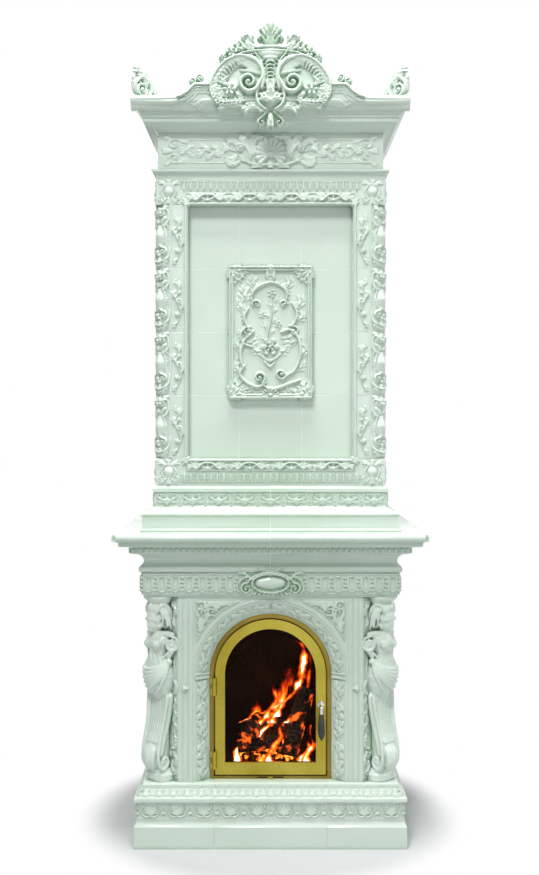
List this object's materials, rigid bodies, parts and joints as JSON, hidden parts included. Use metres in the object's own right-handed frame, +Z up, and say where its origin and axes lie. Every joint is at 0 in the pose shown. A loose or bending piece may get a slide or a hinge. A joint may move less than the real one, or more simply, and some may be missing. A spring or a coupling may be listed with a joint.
{
  "type": "tiled stove",
  "caption": "Free-standing glazed tiled stove with an arched glass fire door, figure corners, a projecting mantel and a carved pediment.",
  "frame": {"origin": "on the floor, under the middle of the stove's box", "axes": "+Z up, -Y towards the front with the fire door, +X to the right seen from the front"},
  "size_m": [1.004, 0.8, 2.654],
  "materials": {
    "glaze": "pale celadon glaze, glossy, soft orange-peel",
    "grout": "fine pale joint filler, matt",
    "fireclay": "fire-clay brick, sooty",
    "mortar": "cast concrete",
    "render": "trowelled lime render",
    "board": "pressed insulation board",
    "iron": "cast, blackened",
    "steel": "sheet steel",
    "brass": "satin brushed brass",
    "pane": "clear fire-proof glass",
    "rope": "woven glass-fibre rope",
    "chrome": "polished",
    "grip": "black, glossy"
  },
  "bodies": {
    "root": {"plinth_tiles": "glaze", "base_band_tiles": "glaze", "base_ledge_tiles": "glaze", "corner_panel_tiles": "glaze", "lower_side_tiles": "glaze", "jamb_tiles": "glaze", "arch_tile": "glaze", "herm_right": "glaze", "herm_left": "glaze", "fluted_frieze_tiles": "glaze", "lower_cornice_tiles": "glaze", "mantel_tiles": "glaze", "frieze_cartouche": "glaze", "step_tiles": "glaze", "scroll_band_tiles": "glaze", "rail_tiles": "glaze", "upper_corner_tiles": "glaze", "upper_field_tiles": "glaze", "upper_side_field_tiles": "glaze", "relief_plaque": "glaze", "neck_moulding_tiles": "glaze", "shell_frieze_tiles": "glaze", "crown_cornice_tiles": "glaze", "shell_ornament": "glaze", "pediment": "glaze", "pediment_crest": "glaze", "finial": "glaze", "corner_volutes": "glaze", "base_slab": "mortar", "hearth_bricks": "fireclay", "firebox_front_bricks": "fireclay", "firebox_wall_bricks": "fireclay", "insulation_boards": "board", "firebox_ceiling_slabs": "fireclay", "smoke_box_bricks": "fireclay", "upper_lining_bricks": "fireclay", "flue_baffles": "fireclay", "rear_wall": "render", "flue_collar": "iron", "top_cover_slabs": "fireclay", "ash_pan": "steel", "door_frame": "brass", "frame_fittings": "steel", "hinge_frame_eyes": "brass", "hinge_pins": "brass", "grout_lower": "grout", "grout_upper": "grout"},
    "door": {"door_leaf": "brass", "hinge_leaf_eyes": "brass", "door_pane": "pane", "rope_seals": "rope", "pane_clips": "steel", "clip_screws": "steel", "handle_rosette": "chrome"},
    "handle": {"handle_neck": "chrome", "handle_grip": "grip", "latch_tongue": "steel"},
    "air_slide": {"air_slide": "brass"},
    "grate": {"grate": "iron"}
  },
  "joints": [
    {"name": "door_swing", "type": "hinge", "parent": "root", "child": "door", "pos_m": [-0.1825, -0.279, 0.386], "axis": [0, 0, -1], "range_deg": [0, 110]},
    {"name": "handle_turn", "type": "hinge", "parent": "door", "child": "handle", "pos_m": [0.1645, -0.271, 0.446], "axis": [0, 1, 0], "range_deg": [0, 90]},
    {"name": "air_slide_move", "type": "slide", "parent": "root", "child": "air_slide", "axis": [1, 0, 0], "range_m": [-0.03, 0.03]},
    {"name": "grate_lift", "type": "slide", "parent": "root", "child": "grate", "axis": [0, 0, 1], "range_m": [0, 0.12]}
  ]
}
